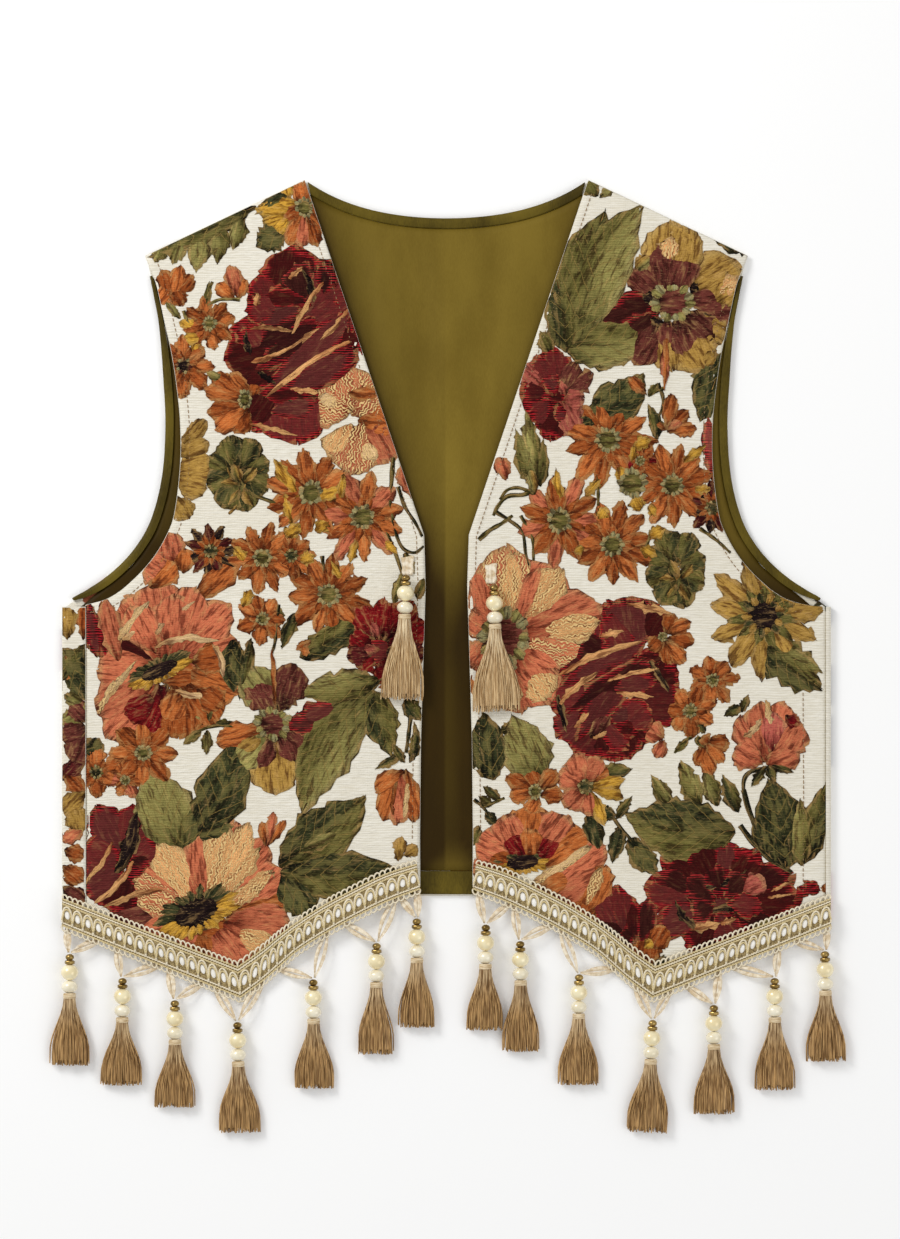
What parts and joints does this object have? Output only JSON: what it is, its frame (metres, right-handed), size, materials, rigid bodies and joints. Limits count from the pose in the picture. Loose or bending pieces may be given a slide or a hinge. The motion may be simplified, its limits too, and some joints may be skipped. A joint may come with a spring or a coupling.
{
  "type": "waistcoat",
  "caption": "Cropped open-front waistcoat in floral tapestry, laid flat, with olive satin lining, gold braid on pointed hems and beaded tassels.",
  "frame": {"origin": "middle of the garment with its tassels, on the surface it lies on", "axes": "+Y up the garment from hem to neck, +X towards the wearer's left side, +Z out of the surface towards the open fronts"},
  "size_m": [0.4959, 0.5921, 0.0166],
  "materials": {
    "tapestry": "woven floral tapestry, matt",
    "olive_satin": "satin sheen",
    "gold_braid": "twisted cord, soft sheen",
    "cream_ribbon": "thin translucent ribbon",
    "pearl_and_brass": "pearl lustre, with antique brass beads",
    "tassel_thread": "silky thread",
    "pale_tassel_thread": "silky thread"
  },
  "bodies": {
    "root": {"back_shell": "tapestry", "back_lining": "olive_satin", "neck_band": "olive_satin", "armhole_band_right": "olive_satin", "armhole_band_left": "olive_satin", "hem_band": "olive_satin", "front_right": "tapestry", "front_left": "tapestry", "braid_right": "gold_braid", "braid_left": "gold_braid", "loops_hem_01": "cream_ribbon", "loops_hem_02": "cream_ribbon", "loops_hem_03": "cream_ribbon", "loops_hem_04": "cream_ribbon", "loops_hem_05": "cream_ribbon", "loops_hem_06": "cream_ribbon", "loops_hem_07": "cream_ribbon", "loops_hem_08": "cream_ribbon", "loops_hem_09": "cream_ribbon", "loops_hem_10": "cream_ribbon", "loops_hem_11": "cream_ribbon", "loops_hem_12": "cream_ribbon", "loops_hem_13": "cream_ribbon", "loops_hem_14": "cream_ribbon", "tab_chest_right": "cream_ribbon", "tab_chest_left": "cream_ribbon", "beads_hem_01": "pearl_and_brass", "beads_hem_02": "pearl_and_brass", "beads_hem_03": "pearl_and_brass", "beads_hem_04": "pearl_and_brass", "beads_hem_05": "pearl_and_brass", "beads_hem_06": "pearl_and_brass", "beads_hem_07": "pearl_and_brass", "beads_hem_08": "pearl_and_brass", "beads_hem_09": "pearl_and_brass", "beads_hem_10": "pearl_and_brass", "beads_hem_11": "pearl_and_brass", "beads_hem_12": "pearl_and_brass", "beads_hem_13": "pearl_and_brass", "beads_hem_14": "pearl_and_brass", "beads_chest_right": "pearl_and_brass", "beads_chest_left": "pearl_and_brass", "tassel_hem_01": "tassel_thread", "tassel_hem_02": "tassel_thread", "tassel_hem_03": "tassel_thread", "tassel_hem_04": "tassel_thread", "tassel_hem_05": "tassel_thread", "tassel_hem_06": "tassel_thread", "tassel_hem_07": "tassel_thread", "tassel_hem_08": "tassel_thread", "tassel_hem_09": "tassel_thread", "tassel_hem_10": "tassel_thread", "tassel_hem_11": "tassel_thread", "tassel_hem_12": "tassel_thread", "tassel_hem_13": "tassel_thread", "tassel_hem_14": "tassel_thread", "tassel_chest_right": "pale_tassel_thread", "tassel_chest_left": "pale_tassel_thread"}
  },
  "joints": []
}
